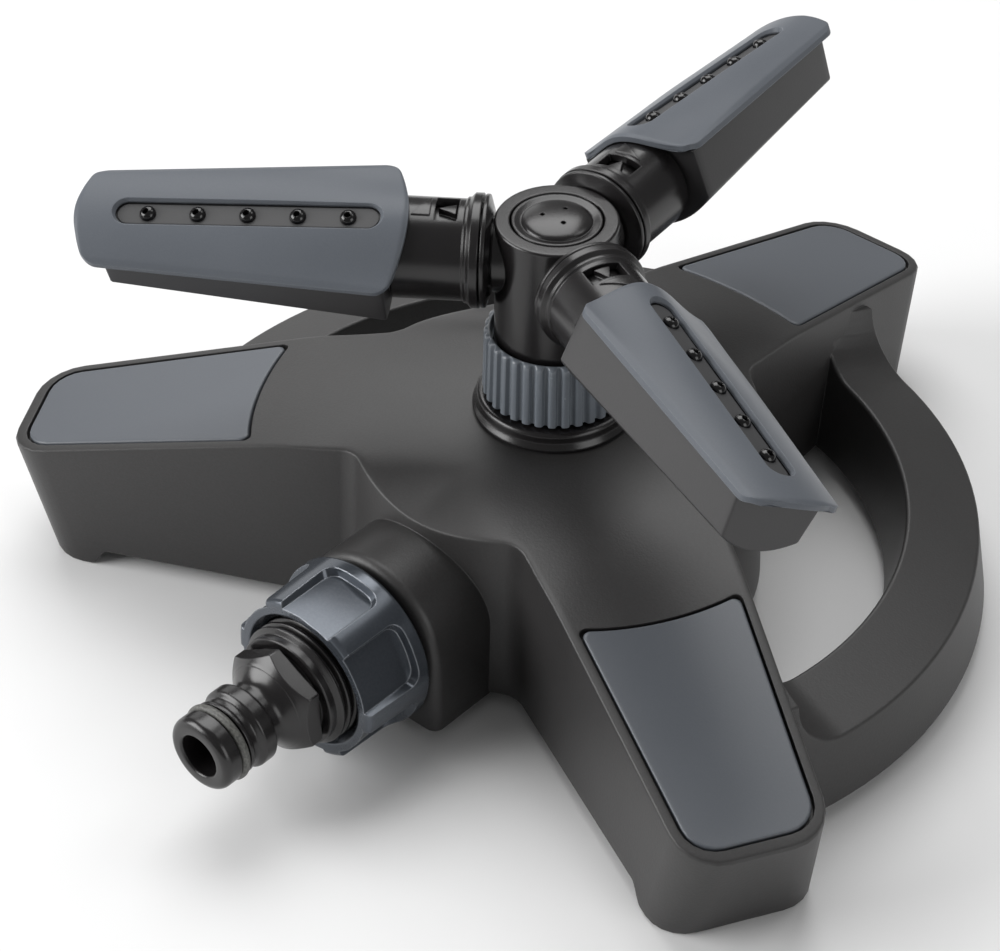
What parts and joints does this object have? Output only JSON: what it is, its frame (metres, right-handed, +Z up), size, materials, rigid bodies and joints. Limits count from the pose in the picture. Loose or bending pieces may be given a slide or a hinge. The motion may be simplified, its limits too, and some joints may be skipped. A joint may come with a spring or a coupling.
{
  "type": "rotary lawn sprinkler",
  "caption": "Low sprinkler: hollow three-legged base with strap handles, a spinning hub with tilting nozzle arms, and a push-on hose plug held by a swivel nut.",
  "frame": {"origin": "centre of the bounding box at ground level, under the feet; the hub's axis passes 5.45 mm towards -Y of it", "axes": "+Z up along the hub's axis, -Y towards the hose plug, +Y along the rear leg, +X to the right seen from the plug's side"},
  "size_m": [0.2094, 0.2208, 0.0959],
  "materials": {
    "charcoal_plastic": "satin, fine grain",
    "black_plastic": "semi-gloss",
    "slate_plastic": "satin",
    "light_slate_plastic": "semi-gloss",
    "seal_rubber": "matte",
    "steel": "plain"
  },
  "bodies": {
    "base": {"base_shell": "charcoal_plastic", "leg_panel_1": "slate_plastic", "leg_panel_2": "slate_plastic", "leg_panel_3": "slate_plastic", "water_duct": "black_plastic", "duct_screw_1": "steel", "duct_screw_2": "steel", "duct_screw_3": "steel", "inlet_spigot": "black_plastic", "rotor_seat": "black_plastic", "spindle": "black_plastic"},
    "inlet": {"swivel_nut": "light_slate_plastic", "sealing_washer": "seal_rubber", "inlet_plug": "black_plastic", "plug_o_ring": "seal_rubber"},
    "collar": {"knurled_collar": "slate_plastic"},
    "rotor": {"hub_body": "black_plastic", "hub_cap": "black_plastic", "rotor_seal": "seal_rubber", "thrust_washer": "steel", "arm_stub_1": "black_plastic", "arm_stub_2": "black_plastic", "arm_stub_3": "black_plastic"},
    "arm_1": {"arm_sleeve_1": "black_plastic", "arm_o_ring_1": "seal_rubber", "arm_trough_1": "charcoal_plastic", "arm_cover_1": "light_slate_plastic", "nozzle_strip_1": "black_plastic"},
    "arm_2": {"arm_sleeve_2": "black_plastic", "arm_o_ring_2": "seal_rubber", "arm_trough_2": "charcoal_plastic", "arm_cover_2": "light_slate_plastic", "nozzle_strip_2": "black_plastic"},
    "arm_3": {"arm_sleeve_3": "black_plastic", "arm_o_ring_3": "seal_rubber", "arm_trough_3": "charcoal_plastic", "arm_cover_3": "light_slate_plastic", "nozzle_strip_3": "black_plastic"}
  },
  "joints": [
    {"name": "hub_spin", "type": "hinge", "parent": "base", "child": "rotor", "pos_m": [0, -0.00545, 0.0835], "axis": [0, 0, 1], "continuous": true},
    {"name": "inlet_swivel", "type": "hinge", "parent": "base", "child": "inlet", "pos_m": [0, -0.09, 0.0213], "axis": [0, -1, 0], "continuous": true},
    {"name": "collar_turn", "type": "hinge", "parent": "base", "child": "collar", "pos_m": [0, -0.00545, 0.06], "axis": [0, 0, 1], "range_deg": [0, 30]},
    {"name": "arm_tilt_1", "type": "hinge", "parent": "rotor", "child": "arm_1", "pos_m": [-0.00209, 0.01444, 0.0835], "axis": [-0.1045, 0.9945, 0], "range_deg": [-11, 11]},
    {"name": "arm_tilt_2", "type": "hinge", "parent": "rotor", "child": "arm_2", "pos_m": [-0.01618, -0.01721, 0.0835], "axis": [-0.809, -0.5878, 0], "range_deg": [-11, 11]},
    {"name": "arm_tilt_3", "type": "hinge", "parent": "rotor", "child": "arm_3", "pos_m": [0.01827, -0.01358, 0.0835], "axis": [0.9135, -0.4067, 0], "range_deg": [-11, 11]}
  ]
}
